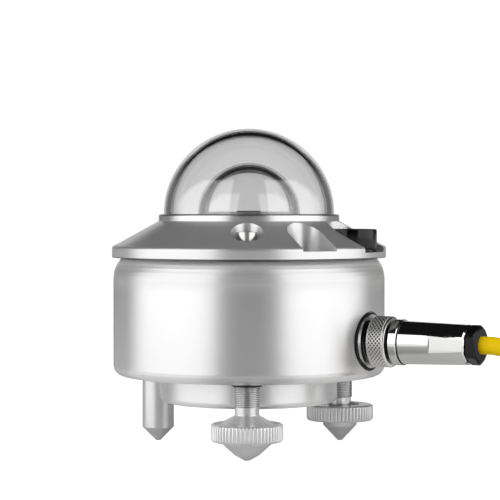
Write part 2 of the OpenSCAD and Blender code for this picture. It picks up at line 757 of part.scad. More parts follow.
wire_r = 0.55;
wire_reach = 3;
// Which contacts have wires, and how far inwards each one turns up to the board, in steps
wired_steps = [1, 2, 3, 4];

module socket_wires() color("firebrick") on_socket() for (i = wired_steps)
    rotate([0, 0, 360 * i / contacts]) translate([contact_circle_r, 0, 0])
        rotate([0, 0, -360 * i / contacts]) {
            hole(wire_r - fit_gap, socket_in - i * wire_reach, socket_in);
            wire_top = board_z0 - socket_z + contact_circle_r * cos(360 * i / contacts);
            translate([wire_r, 0, socket_in - i * wire_reach]) rotate([0, -90, 0])
                cylinder(r = wire_r, h = wire_top + wire_r);
        }

module coupling_nut() color("gainsboro") on_socket() difference() {
    turned([[0, nut_start], [nut_d / 2 - nut_chamfer, nut_start], [nut_d / 2, nut_start + nut_chamfer],
        [nut_d / 2, nut_end - 2 * nut_chamfer], [nut_d / 2 - nut_end_step, nut_end], [0, nut_end]]);
    hole(nut_bore_r, nut_start - over, nut_end - nut_lip);
    hole(plug_neck_r + run_gap, nut_start, nut_end + over);
}

nut_chamfer = 0.3;
nut_end_step = 0.55;

module plug_seal() color("black") on_socket() tube(plug_collar_r - fit_gap, plug_insert_r + fit_gap,
    socket_end, socket_end + plug_seal_t - fit_gap);

module plug_insert() color([0.1, 0.1, 0.1]) on_socket() difference() {
    union() {
        hole(plug_insert_r, plug_insert_in, plug_front - fit_gap);
        hole(shell_bore_r - fit_gap, (plug_insert_in + plug_front) / 2, plug_insert_end);
    }
    contact_places() hole(2 * contact_r, plug_insert_in - over, plug_insert_end - fit_room);
}

module plug_contacts() color("gold") on_socket() contact_places()
    tube(2 * contact_r - fit_gap, contact_r + run_gap, plug_insert_in + fit_gap, plug_insert_end - fit_room);

module plug_ring() color("gainsboro") on_socket() difference() {
    turned([[0, ring_start], [plug_ring_r - ring_chamfer, ring_start], [plug_ring_r, ring_start + ring_chamfer],
        [plug_ring_r, ring_start + plug_ring_l - ring_chamfer],
        [plug_ring_r - ring_chamfer, ring_start + plug_ring_l], [0, ring_start + plug_ring_l]]);
    hole(plug_neck_r + fit_gap, ring_start - over, shell_start + over);
}

ring_chamfer = 0.2;
collar_l = nut_end - nut_lip - plug_front - run_gap;
shell_round = 0.5;

module plug_shell() color("gainsboro") on_socket() difference() {
    turned([[0, plug_front], [plug_collar_r, plug_front], [plug_collar_r, plug_front + collar_l],
        [plug_neck_r, plug_front + collar_l], [plug_neck_r, shell_start], [shell_d / 2, shell_start],
        [shell_end_d / 2, shell_end - shell_round], [shell_end_d / 2 - shell_round, shell_end], [0, shell_end]]);
    hole(shell_bore_r, plug_front - over, shell_end + over);
    for (side = [0, 180]) rotate([0, 0, side])
        translate([-shell_d, flat_r, shell_start + flat_share * shell_l]) cube([2 * shell_d, shell_d, shell_l]);
}

module gland_grommet() color([0.15, 0.15, 0.15]) on_socket()
    tube(shell_bore_r - fit_gap, cable_r + fit_gap, gland_start - gland_neck_l - grommet_l, gland_start - gland_neck_l);

module gland_nut() color([0.05, 0.05, 0.06]) on_socket() difference() {
    union() {
        intersection() {
            translate([0, 0, gland_start]) cylinder(d = gland_w / cos(30), h = gland_l, $fn = 6);
            turned([[0, gland_start], [gland_w * gland_round_share, gland_start],
                [gland_w * gland_round_share, gland_end - gland_chamfer],
                [gland_w * gland_round_share - 1.7 * gland_chamfer, gland_end], [0, gland_end]]);
        }
        hole(shell_bore_r - fit_gap, gland_start - gland_neck_l, gland_start + fit_gap);
    }
    hole(gland_bore_r, gland_start - gland_neck_l - over, gland_end + over);
}

gland_chamfer = 0.6;
gland_round_share = 0.545;

// Cable

function unit(v) = v / norm(v);

// Directions along a path, one for each point
function tangents(p) = let (n = len(p) - 1) [for (i = [0 : n]) unit(p[min(i + 1, n)] - p[max(i - 1, 0)])];

// Round tube of triangles swept along points, for paths that never stand upright
module sweep(p, r, sides) {
    t = tangents(p);
    n = len(p);
    points = [for (i = [0 : n - 1]) let (side = unit(cross(t[i], [0, 0, 1])), up = cross(side, t[i]))
        for (k = [0 : sides - 1]) p[i] + r * (cos(360 * k / sides) * side + sin(360 * k / sides) * up)];
    walls = [for (i = [0 : n - 2]) for (k = [0 : sides - 1])
        let (a = i * sides + k, b = i * sides + (k + 1) % sides) each [[a, b, b + sides], [a, b + sides, a + sides]]];
    caps = [for (k = [1 : sides - 2]) each [[0, k + 1, k], (n - 1) * sides * [1, 1, 1] + [0, k, k + 1]]];
    polyhedron(points = points, faces = concat(walls, caps), convexity = 10);
}

// Point of the plug's own frame in the main frame
function from_plug(p) = let (x = gland_end + p[0])
    [x * cos(socket_angle) - p[1] * sin(socket_angle), x * sin(socket_angle) + p[1] * cos(socket_angle), p[2]];

run_points = [for (p = cable_route) from_plug(p)];
run_last = run_points[len(run_points) - 1];
run_dir = run_last - run_points[len(run_points) - 2];
run_heading = atan2(run_dir[1], run_dir[0]);

// The coil goes on where the free stretch ends, in the same direction
spiral_lean = atan(coil_pitch / (2 * PI * coil_r));
coil_start = run_heading - 90 - spiral_lean;
lead_l = cable_d;
coil_first = run_last + lead_l * [cos(run_heading), sin(run_heading), 0];
coil_center = coil_first - coil_r * [cos(coil_start), sin(coil_start), 0];
turns_total = loops_per_layer * layers;

// How many loops inwards the spiral stands at a turn: it runs in and out again at a steady rate
function loops_in(t) = let (m = t % (2 * loops_per_layer)) m < loops_per_layer ? m : 2 * loops_per_layer - m;

// Layer at a turn: each climb takes the half turn about the place where the spiral reverses
function smooth(s) = let (c = max(0, min(1, s))) c * c * (3 - 2 * c);
function layer_sum(t, k) = k < 1 ? 0 : smooth(2 * (t - k * loops_per_layer) + 0.5) + layer_sum(t, k - 1);
function coil_point(t) = let (r = coil_r - coil_pitch * loops_in(t), a = coil_start + 360 * t)
    coil_center + [r * cos(a), r * sin(a), coil_pitch * layer_sum(t, layers - 1)];

end_heading = coil_start + 90 - spiral_lean;
end_dir = [cos(end_heading), sin(end_heading), 0];
coil_last = coil_point(turns_total) + lead_l * end_dir;
coil_points = concat([run_last], [for (i = [0 : turns_total * loop_rings]) coil_point(i / loop_rings)], [coil_last]);

// Least distance between turns, on points at least half a loop apart
coil_gap = min([for (i = [0 : len(coil_points) - 1]) for (j = [i + loop_rings / 2 : 1 : len(coil_points) - 1])
    norm(coil_points[i] - coil_points[j])]) - cable_d;
echo(str("Least gap between the coil's turns, in mm: ", coil_gap));

function path_length(p) = let (steps = [for (i = [1 : len(p) - 1]) norm(p[i] - p[i - 1])]) steps * [for (s = steps) 1];

// Point of the coil end's own frame in the main frame
function from_coil(p) = coil_last + p[0] * end_dir + p[1] * [-end_dir[1], end_dir[0], 0] + [0, 0, p[2]];
tail_points = [for (p = tail_route) from_coil(p)];
tail_last = tail_points[len(tail_points) - 1];
tail_dir = unit(tail_last - tail_points[len(tail_points) - 2]);
echo(str("Length of the cable outside the plug, in mm: ",
    path_length(run_points) + cable_route[0][0] + path_length(coil_points) + path_length(tail_points)));

module cable_run() color("gold") sweep(run_points, cable_r, run_sides);

module cable_coil() color("gold") sweep(coil_points, cable_r, coil_sides);

module cable_tail() color("gold") sweep(tail_points, cable_r, run_sides);

coil_in_r = coil_r - loops_per_layer * coil_pitch - cable_r - tie_room;
coil_out_r = coil_r + cable_r + tie_room;
coil_low = run_last[2] - cable_r - tie_room;
coil_high = run_last[2] + (layers - 1) * coil_pitch + cable_r + tie_room;

module coil_ties() color([0.1, 0.1, 0.1]) for (a = tie_angles)
    translate(coil_center - [0, 0, run_last[2]]) rotate([0, 0, coil_start + a]) difference() {
        translate([coil_in_r - tie_t, -tie_w / 2, coil_low - tie_t])
            cube([coil_out_r - coil_in_r + 2 * tie_t, tie_w, coil_high - coil_low + 2 * tie_t]);
        translate([coil_in_r, -tie_w, coil_low])
            cube([coil_out_r - coil_in_r, 2 * tie_w, coil_high - coil_low]);
    }

// Lays a shape's Z axis along the cable's end, with its origin at the jacket's end
module on_tail() {
    translate(tail_last) rotate([0, 0, atan2(tail_dir[1], tail_dir[0])]) rotate([0, 90, 0]) children();
}

module cable_sleeve() color([0.08, 0.08, 0.08]) on_tail()
    tube(cable_r + run_gap + sleeve_t, cable_r + run_gap, sleeve_l / 3 - sleeve_l, sleeve_l / 3);

module core_places() {
    for (i = [0 : cores - 1]) rotate([0, 0, 360 * i / cores]) translate([core_spread, 0, 0]) children();
}

module cable_cores() color("sienna") on_tail() core_places() hole(core_r, fit_gap, core_l);

module core_ferrules() color("gainsboro") on_tail()
    for (i = [0 : cores - 1]) rotate([0, 0, 360 * i / cores]) translate([core_spread, 0, 0])
        hole(ferrule_r, core_l, core_l + ferrule_l);

housing();
base_cover();
base_seal();
base_screws();
drying_cartridge();
top_cover();
cover_seal();
cover_screws();
dome_ring();
dome_ring_seal();
outer_dome_gasket();
outer_dome();
inner_dome_gasket();
inner_dome();
detector_plate();
heat_sink();
heat_sink_screws();
thermopile();
sensor_disc();
compensation_disc();
sensor_leads();
circuit_board();
board_components();
board_standoffs();
board_screws();
level_cup();
level_glass();
level_fluid();
level_bubble();
level_screw();
fixed_foot();
foot_bushings();
front_foot_screw();
front_foot_tip();
right_foot_screw();
right_foot_tip();
socket_shell();
socket_seal();
socket_insert();
socket_pins();
socket_wires();
coupling_nut();
plug_seal();
plug_insert();
plug_contacts();
plug_ring();
plug_shell();
gland_grommet();
gland_nut();
cable_run();
cable_coil();
cable_tail();
coil_ties();
cable_sleeve();
cable_cores();
core_ferrules();
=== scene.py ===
"""Looks of the pyranometer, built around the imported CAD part.

Metres; Z up; the origin is on the dome's axis, in the plane of the foot tips. Sizes taken from the CAD are in mm.
"""
import math
import bpy
from mathutils import Matrix, Vector


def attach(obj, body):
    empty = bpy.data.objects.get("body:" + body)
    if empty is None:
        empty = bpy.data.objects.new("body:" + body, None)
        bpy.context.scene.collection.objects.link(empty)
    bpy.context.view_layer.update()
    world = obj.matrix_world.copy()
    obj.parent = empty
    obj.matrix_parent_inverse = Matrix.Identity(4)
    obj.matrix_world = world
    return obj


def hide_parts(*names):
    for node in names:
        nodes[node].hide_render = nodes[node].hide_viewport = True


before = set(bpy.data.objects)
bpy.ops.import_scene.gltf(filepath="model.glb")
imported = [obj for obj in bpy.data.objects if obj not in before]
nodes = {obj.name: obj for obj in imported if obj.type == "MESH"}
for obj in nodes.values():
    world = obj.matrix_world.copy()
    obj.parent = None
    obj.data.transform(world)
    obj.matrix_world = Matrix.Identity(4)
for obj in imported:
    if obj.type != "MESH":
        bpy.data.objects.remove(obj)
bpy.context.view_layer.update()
scene = bpy.context.scene
scene.view_settings.view_transform = "Standard"
MM = 0.001
TAU = 2 * math.pi


# Camera, found from the photograph: focal length, picture width, and drop and turn of its axis, all in pixels
FOCAL_PX, PICTURE_PX, DROP_PX, TURN_PX = 1911, 500, 40.7, 1
CAMERA_PLACE = (0, -0.560, 0.0696)
SENSOR_MM = 36


def make_camera():
    data = bpy.data.cameras.new("camera")
    data.sensor_width = SENSOR_MM
    data.lens = SENSOR_MM * FOCAL_PX / PICTURE_PX
    data.clip_start = 0.01
    data.clip_end = 20
    cam = bpy.data.objects.new("camera", data)
    cam.location = CAMERA_PLACE
    cam.rotation_euler = (math.pi / 2 - math.atan(DROP_PX / FOCAL_PX), 0, -TURN_PX / FOCAL_PX)
    scene.collection.objects.link(cam)
    scene.camera = cam


make_camera()


# Mesh helpers
def add_mesh(name, verts, faces, sharp=35):
    me = bpy.data.meshes.new(name)
    me.from_pydata([tuple(v) for v in verts], [], faces)
    me.validate()
    me.update()
    me.shade_smooth()
    if sharp:
        me.set_sharp_from_angle(angle=math.radians(sharp))
    o = bpy.data.objects.new(name, me)
    scene.collection.objects.link(o)
    return o


def axis_frame(origin, direction):
    """Matrix whose Z runs along direction from origin."""
    z = Vector(direction).normalized()
    x = Vector((0, 0, 1)).cross(z)
    x = Vector((1, 0, 0)) if x.length < 1e-6 else x.normalized()
    y = z.cross(x)
    m = Matrix((x, y, z)).transposed().to_4x4()
    m.translation = Vector(origin)
    return m


def grid_faces(rows, cols, closed_rows=False):
    """Quads between rows of points that each go once round."""
    faces = []
    for j in range(rows if closed_rows else rows - 1):
        a, b = j * cols, ((j + 1) % rows) * cols
        for i in range(cols):
            k = (i + 1) % cols
            faces.append((a + i, a + k, b + k, b + i))
    return faces


def lathe(name, profile, segments=192, matrix=None, radius=None, closed=False, sharp=35):
    """Turns a profile of (radius, height) in mm about Z. radius(angle, r, z) may change each point."""
    matrix = matrix or Matrix.Identity(4)
    verts = []
    for r, z in profile:
        for i in range(segments):
            a = TAU * i / segments
            rr = radius(a, r, z) if radius else r
            verts.append(matrix @ Vector((rr * math.cos(a) * MM, rr * math.sin(a) * MM, z * MM)))
    faces = grid_faces(len(profile), segments, closed)
    if not closed:
        for row, z in ((0, profile[0][1]), (len(profile) - 1, profile[-1][1])):
            r = profile[row][0]
            if r < 1e-4:
                continue
            c = len(verts)
            verts.append(matrix @ Vector((0, 0, z * MM)))
            for i in range(segments):
                a, b = row * segments + i, row * segments + (i + 1) % segments
                faces.append((c, b, a) if row == 0 else (c, a, b))
    return add_mesh(name, verts, faces, sharp)


def arc(cx, cz, r, a0, a1, n):
    """Points on a round from one angle to another, in degrees."""
    return [(cx + r * math.cos(math.radians(a0 + (a1 - a0) * i / n)),
             cz + r * math.sin(math.radians(a0 + (a1 - a0) * i / n))) for i in range(n + 1)]


def curve_object(name, points, radius, resolution=6, sides=6):
    """Round tube on one open Bezier spline, in mm."""
    data = bpy.data.curves.new(name, "CURVE")
    data.dimensions = "3D"
    data.bevel_depth = radius * MM
    data.bevel_resolution = sides
    data.resolution_u = resolution
    data.use_fill_caps = True
    data.twist_mode = "MINIMUM"
    s = data.splines.new("BEZIER")
    s.bezier_points.add(len(points) - 1)
    for bp, p in zip(s.bezier_points, points):
        bp.co = Vector(p) * MM
        bp.handle_left_type = bp.handle_right_type = "AUTO"
    s.use_smooth = True
    o = bpy.data.objects.new(name, data)
    scene.collection.objects.link(o)
    return o


def as_mesh(o):
    """The curve as a mesh object of the same name."""
    dg = bpy.context.evaluated_depsgraph_get()
    me = bpy.data.meshes.new_from_object(o.evaluated_get(dg))
    name = o.name
    bpy.data.objects.remove(o)
    me.name = name
    n = bpy.data.objects.new(name, me)
    scene.collection.objects.link(n)
    return n


# Sizes from the CAD, in mm
def place(radius, degrees):
    """Point round the dome's axis, from its turn from X."""
    a = math.radians(degrees)
    return Vector((radius * math.cos(a), radius * math.sin(a), 0))


# The connector's axis, and how far the gland nut reaches along it
AXIS_Z = 32.3
U = place(1, -30)
PLUG = axis_frame((0, 0, AXIS_Z * MM), U)
GLAND_END = 73.7

# The cable: its free run from the gland nut, its coil on the table, and its free end
CABLE_R = 2.5
RUN = [(-8, 0, 32.3), (0, 0, 32.3), (4, 0, 32.2), (14.5, 0, 29.8), (23, 0.5, 22.8), (29, 1, 13), (37.5, 2.5, 6),
       (47, 5.5, 3.5), (56.5, 9.5, 3.5)]
TAIL = [(0, 0, 0), (4, 0.2, 0.2), (11, 2, 1.2), (21.5, 7, 3.2), (29.5, 15.5, 5), (35, 25.5, 5.8), (37.5, 36, 5.8),
        (37.5, 47, 5.8), (35, 57, 5.8), (32, 69, 5.8)]
COIL_R, COIL_PITCH, LOOPS, LAYERS, LEAD = 50.5, 5.6, 5, 4, 5.0

# Feet and level
FOOT_R, LEVEL_R = 31.65, 32.5
FRONT, RIGHT, LEFT = place(FOOT_R, -91), place(FOOT_R, 30), place(FOOT_R, 150)
LEVEL = place(LEVEL_R, -25)
CUP_Z = 57.4

# Levelling screws: spindle, its thread and its neck
SPINDLE_TOP, THREAD_R, THREAD_DEPTH, PITCH, NECK_R = 31.9, 3.8, 0.3, 0.5, 3.4
FRONT_THREAD_Z, RIGHT_THREAD_Z = 14.9, 13.1

# Domes and coupling nut
DOME_BASE, DOME_WALL = 68.2, 2.0
OUTER_DOME_R, INNER_DOME_R = 25.0, 15.0
NUT_START, NUT_END = 41.6, 47.1


def from_plug(p):
    """Place of a point given from the gland nut's end: along the plug, beside it, and up from the table."""
    x = GLAND_END + p[0]
    return Vector((x * U.x - p[1] * U.y, x * U.y + p[1] * U.x, p[2]))


run_points = [from_plug(p) for p in RUN]
run_last = run_points[-1]
run_dir = run_last - run_points[-2]
run_heading = math.atan2(run_dir.y, run_dir.x)
lean = math.atan(COIL_PITCH / (TAU * COIL_R))
coil_start = run_heading - math.pi / 2 - lean
coil_first = run_last + LEAD * Vector((math.cos(run_heading), math.sin(run_heading), 0))
coil_center = coil_first - COIL_R * Vector((math.cos(coil_start), math.sin(coil_start), 0))


def ease(s):
    """Soft step from 0 to 1."""
    c = max(0.0, min(1.0, s))
    return c * c * (3 - 2 * c)


def coil_point(t):
    """Place on the coil after t turns: in and out in a spiral, and up a layer each time."""
    m = t % (2 * LOOPS)
    r = COIL_R - COIL_PITCH * (m if m < LOOPS else 2 * LOOPS - m)
    a = coil_start + TAU * t
    up = sum(ease(2 * (t - k * LOOPS) + 0.5) for k in range(1, LAYERS))
    return coil_center + Vector((r * math.cos(a), r * math.sin(a), COIL_PITCH * up))


end_heading = coil_start + math.pi / 2 - lean
end_dir = Vector((math.cos(end_heading), math.sin(end_heading), 0))
coil_last = coil_point(LOOPS * LAYERS) + LEAD * end_dir
side_dir = Vector((-end_dir.y, end_dir.x, 0))
tail_points = [coil_last + p[0] * end_dir + p[1] * side_dir + Vector((0, 0, p[2])) for p in TAIL]
tail_dir = (tail_points[-1] - tail_points[-2]).normalized()


# Materials
MATS = {}


class Graph:
    """Short names for building a node material."""

    def __init__(self, name):
        self.mat = bpy.data.materials.new(name)
        self.mat.use_nodes = True
        self.nt = self.mat.node_tree
        self.nt.nodes.clear()
        self.out = self.n("ShaderNodeOutputMaterial")
        self.p = self.n("ShaderNodeBsdfPrincipled")
        self.nt.links.new(self.p.outputs[0], self.out.inputs[0])

    def n(self, kind, **props):
        node = self.nt.nodes.new(kind)
        for k, v in props.items():
            setattr(node, k, v)
        return node

    def link(self, a, b):
        self.nt.links.new(a, b)

    def put(self, node, i, value):
        if hasattr(value, "is_output"):
            self.link(value, node.inputs[i])
        elif value is not None:
            node.inputs[i].default_value = value

    def math(self, op, a, b=None, c=None):
        node = self.n("ShaderNodeMath", operation=op)
        for i, v in enumerate((a, b, c)):
            self.put(node, i, v)
        return node.outputs[0]

    def vec(self, op, a, b=None, scale=None):
        node = self.n("ShaderNodeVectorMath", operation=op)
        self.put(node, 0, a)
        self.put(node, 1, b)
        if scale is not None:
            self.put(node, 3, scale)
        return node.outputs["Value"] if op in ("DOT_PRODUCT", "LENGTH") else node.outputs[0]

    def at(self):
        """Place on the piece, in metres."""
        if not hasattr(self, "_at"):
            self._at = self.n("ShaderNodeTexCoord").outputs["Object"]
        return self._at

    def noise(self, vector, scale, detail=3.0, rough=0.5):
        node = self.n("ShaderNodeTexNoise")
        self.link(vector, node.inputs["Vector"])
        node.inputs["Scale"].default_value = scale
        node.inputs["Detail"].default_value = detail
        node.inputs["Roughness"].default_value = rough
        return node.outputs[0]

    def spread(self, value, low, high):
        """Maps 0..1 to low..high."""
        node = self.n("ShaderNodeMapRange")
        self.link(value, node.inputs[0])
        node.inputs[3].default_value = low
        node.inputs[4].default_value = high
        return node.outputs[0]

    def ramp(self, value, stops):
        node = self.n("ShaderNodeValToRGB")
        self.link(value, node.inputs[0])
        e = node.color_ramp.elements
        while len(e) < len(stops):
            e.new(0.5)
        for el, (pos, col) in zip(e, stops):
            el.position = pos
            el.color = (*col, 1)
        return node.outputs[0]

    def around(self, origin, direction):
        """Distance along an axis, distance from it, and the vector from it, in metres."""
        rel = self.vec("SUBTRACT", self.at(), tuple(origin))
        along = self.vec("DOT_PRODUCT", rel, tuple(direction))
        foot = self.vec("SCALE", tuple(direction), scale=along)
        away = self.vec("SUBTRACT", rel, foot)
        return along, self.vec("LENGTH", away), away

    def bump(self, height, strength, distance, bevel=0.0):
        node = self.n("ShaderNodeBump")
        node.inputs["Strength"].default_value = strength
        node.inputs["Distance"].default_value = distance
        self.link(height, node.inputs["Height"])
        if bevel:
            b = self.n("ShaderNodeBevel")
            b.samples = 6
            b.inputs[0].default_value = bevel
            self.link(b.outputs[0], node.inputs["Normal"])
        self.link(node.outputs[0], self.p.inputs["Normal"])

    def set(self, **values):
        names = {"color": "Base Color", "metal": "Metallic", "rough": "Roughness", "ior": "IOR",
                 "aniso": "Anisotropic", "coat": "Coat Weight", "glass": "Transmission Weight",
                 "sheen": "Sheen Weight", "sheen_rough": "Sheen Roughness", "sub": "Subsurface Weight",
                 "spec": "Specular IOR Level"}
        for k, v in values.items():
            s = self.p.inputs[names[k]]
            if k == "color" and not hasattr(v, "is_output"):
                v = (*v, 1)
            if hasattr(v, "is_output"):
                self.link(v, s)
            else:
                s.default_value = v


def turned_metal(name, color, rough, origin=(0, 0, 0), direction=(0, 0, 1), aniso=0.5, line=0.00012, depth=0.35,
                 bevel=0.00012, vary=0.04, rough_vary=0.06, metal=1.0):
    """Metal cut on a lathe about an axis: fine lines run round it, and its gloss stretches across them."""
    g = Graph(name)
    along, radius, away = g.around(origin, direction)
    comb = g.n("ShaderNodeCombineXYZ")
    g.link(along, comb.inputs[0])
    g.link(radius, comb.inputs[1])
    slow = g.vec("SCALE", g.at(), scale=0.012)
    lines = g.noise(g.vec("ADD", comb.outputs[0], slow), 1 / line, 4.0, 0.65)
    wide = g.noise(g.at(), 90.0, 4.0, 0.6)
    grain = g.noise(g.at(), 2600.0, 2.0, 0.5)
    tone = g.math("ADD", g.spread(lines, -0.5, 0.5), g.spread(wide, -0.8, 0.8))
    shade = g.math("MULTIPLY_ADD", tone, vary, 1.0)
    col = g.n("ShaderNodeVectorMath", operation="SCALE")
    col.inputs[0].default_value = color
    g.link(shade, col.inputs[3])
    g.link(col.outputs[0], g.p.inputs["Base Color"])
    r = g.math("MULTIPLY_ADD", g.spread(lines, -1, 1), rough_vary, rough)
    r = g.math("MULTIPLY_ADD", g.spread(wide, -1, 1), rough_vary * 0.5, r)
    g.set(metal=metal, rough=r, aniso=aniso)
    height = g.math("MULTIPLY_ADD", grain, 0.35, lines)
    g.bump(height, depth, 0.000012, bevel)
    if aniso:
        geo = g.n("ShaderNodeNewGeometry")
        ring = g.vec("CROSS_PRODUCT", tuple(direction), away)
        tangent = g.vec("CROSS_PRODUCT", ring, geo.outputs["Normal"])
        g.link(tangent, g.p.inputs["Tangent"])
    MATS[name] = g.mat


def plated(name, color, rough, origin=(0, 0, 0), direction=(0, 0, 1)):
    """Smoother metal than the turned kind, with rounded edges."""
    turned_metal(name, color, rough, origin, direction, 0.0, 0.0001, 0.15, 0.0001, 0.03, 0.03)


def plastic(name, color, rough=0.45, grain=1400.0, depth=0.25, vary=0.06, bevel=0.0, coat=0.0, sub=0.0, spec=0.5):
    """Moulded plastic, rubber or paint, with a fine grain."""
    g = Graph(name)
    fine = g.noise(g.at(), grain, 3.0, 0.6)
    wide = g.noise(g.at(), 160.0, 3.0, 0.5)
    shade = g.math("MULTIPLY_ADD", g.spread(wide, -1, 1), vary, 1.0)
    col = g.n("ShaderNodeVectorMath", operation="SCALE")
    col.inputs[0].default_value = color
    g.link(shade, col.inputs[3])
    g.link(col.outputs[0], g.p.inputs["Base Color"])
    g.set(rough=g.math("MULTIPLY_ADD", g.spread(fine, -1, 1), 0.06, rough), coat=coat, sub=sub, spec=spec)
    if sub:
        g.p.inputs["Subsurface Scale"].default_value = 0.0008
    g.bump(fine, depth, 0.00002, bevel)
    MATS[name] = g.mat


def glass(name, tint, ior=1.52):
    """Clear glass with a faint trace of dust on it."""
    g = Graph(name)
    dust = g.noise(g.at(), 700.0, 5.0, 0.7)
    g.set(color=tint, glass=1.0, ior=ior, rough=g.spread(g.math("POWER", dust, 6.0), 0.0, 0.02))
    MATS[name] = g.mat


def woven(name, color, across, up, pitch):
    """Narrow woven tape: crossing threads as bump and shade."""
    g = Graph(name)
    a = g.math("MULTIPLY", g.vec("DOT_PRODUCT", g.at(), tuple(across)), TAU / pitch)
    b = g.math("MULTIPLY", g.vec("DOT_PRODUCT", g.at(), tuple(up)), TAU / pitch)
    weave = g.math("MULTIPLY", g.math("SINE", a), g.math("SINE", b))
    fuzz = g.noise(g.at(), 3000.0, 4.0, 0.7)
    h = g.math("MULTIPLY_ADD", fuzz, 0.7, weave)
    shade = g.math("MULTIPLY_ADD", g.spread(h, -1, 1), 0.25, 1.0)
    col = g.n("ShaderNodeVectorMath", operation="SCALE")
    col.inputs[0].default_value = color
    g.link(shade, col.inputs[3])
    g.link(col.outputs[0], g.p.inputs["Base Color"])
    g.set(rough=0.85, sheen=0.4, sheen_rough=0.5)
    g.bump(h, 0.6, 0.00015)
    MATS[name] = g.mat


# Colours, and shares of clean metal
ALU, ANODISED = (0.64, 0.64, 0.645), (0.66, 0.66, 0.665)
NICKEL = (0.6, 0.597, 0.592)
BODY_METAL, SHOULDER_METAL, FOOT_METAL = 0.92, 0.55, 0.85
CONNECTOR = ((0, 0, AXIS_Z * MM), U)
# The anodised layer scatters part of the light
turned_metal("satin_body", ANODISED, 0.34, aniso=0.5, metal=BODY_METAL)
turned_metal("satin_cover", ANODISED, 0.32, aniso=0.45, metal=0.68)
turned_metal("bright_ring", (0.60, 0.60, 0.605), 0.3, aniso=0.5, metal=0.95)
turned_metal("satin_fixed", ALU, 0.34, origin=LEFT * MM, metal=FOOT_METAL)
# painted light: the front foot's aluminium is lighter and less metallic than the other feet's
turned_metal("satin_front", (0.78, 0.78, 0.785), 0.34, origin=FRONT * MM, metal=0.78)
turned_metal("satin_right", ALU, 0.34, origin=RIGHT * MM, metal=FOOT_METAL)
for side, centre in (("front", FRONT), ("right", RIGHT)):
    turned_metal("thread_" + side, ALU, 0.24, origin=centre * MM, aniso=0.0, depth=0.03, bevel=0.0, metal=0.9)
turned_metal("sink_metal", (0.45, 0.46, 0.47), 0.4)
plated("screw_steel", (0.55, 0.55, 0.54), 0.25)
plated("plated_nut", NICKEL, 0.22, *CONNECTOR)
plated("plated_shell", (0.62, 0.618, 0.614), 0.08, *CONNECTOR)


# Painted shade: what is left of the colour in the gaps beside the coupling nut, in the thread's valleys and under
# the rim
GAP_SHADE, VALLEY_SHADE, RIM_SHADE = 0.03, 0.7, 0.2


def reopen(name):
    """The graph of a finished material, to add to it."""
    g = Graph.__new__(Graph)
    g.mat, g.nt = MATS[name], MATS[name].node_tree
    g.p = next(n for n in g.nt.nodes if n.type == "BSDF_PRINCIPLED")
    return g


def dim(g, keep):
    """Scale the colour of an open material by a factor from its graph."""
    tone = g.p.inputs["Base Color"].links[0].from_socket
    col = g.n("ShaderNodeVectorMath", operation="SCALE")
    g.link(tone, col.inputs[0])
    g.link(keep, col.inputs[3])
    g.link(col.outputs[0], g.p.inputs["Base Color"])


def linear(g, value, v0, v1, out0, out1):
    """Straight ramp between two values, held at its ends."""
    slope = (out1 - out0) / (v1 - v0)
    line = g.math("MULTIPLY_ADD", value, slope, out0 - slope * v0)
    return g.math("MAXIMUM", g.math("MINIMUM", line, max(out0, out1)), min(out0, out1))


def darken_valleys(name, origin, start):
    """Painted shade in a thread that starts at a height, in mm: the colour falls from the crest to the root."""
    g = reopen(name)
    along, radius, _ = g.around(origin, (0, 0, 1))
    plain = g.math("LESS_THAN", along, start * MM)
    valley = linear(g, radius, (THREAD_R - 0.28) * MM, (THREAD_R - 0.14) * MM, VALLEY_SHADE, 1.0)
    dim(g, g.math("MAXIMUM", valley, plain))


def above_table(g):
    """Place above the table on the piece, in metres."""
    return g.around((0, 0, 0), (0, 0, 1))[0]


def darken_below(name, limit, keep):
    """Painted shade: the colour is scaled down under a height, in mm."""
    g = reopen(name)
    dim(g, g.math("MULTIPLY_ADD", g.math("LESS_THAN", above_table(g), limit * MM), keep - 1, 1.0))


def darken_gap(name, start, end, inside):
    """Painted shade: darker colour nearer to the connector's axis than a radius, between two places along it, in
    mm.
    """
    g = reopen(name)
    along, radius, _ = g.around(*CONNECTOR)
    inner = g.math("LESS_THAN", radius, inside * MM)
    after = g.math("GREATER_THAN", along, start * MM)
    before = g.math("LESS_THAN", along, end * MM)
    mask = g.math("MULTIPLY", inner, g.math("MULTIPLY", after, before))
    dim(g, g.math("MULTIPLY_ADD", mask, GAP_SHADE - 1, 1.0))


plated("plated_socket", NICKEL, 0.22, *CONNECTOR)
# painted shadow on the socket's thread in the gap beside the coupling nut
darken_gap("plated_socket", 40.32, 45.0, 6.2)
# painted shade in the valleys of the feet's threads
darken_valleys("thread_front", FRONT * MM, FRONT_THREAD_Z - 0.1)
darken_valleys("thread_right", RIGHT * MM, RIGHT_THREAD_Z - 0.1)
# Painted light and shade: the housing's shoulder is lighter towards the rim, and the plug's shell darker below its
# middle
for name, z0, z1, out0, out1 in (("satin_body", 52.0, 54.4, 1.0, 1.5),
                                 ("plated_shell", AXIS_Z - 2.5, AXIS_Z - 1, 0.72, 1.0)):
    shade = reopen(name)
    dim(shade, linear(shade, above_table(shade), z0 * MM, z1 * MM, out0, out1))
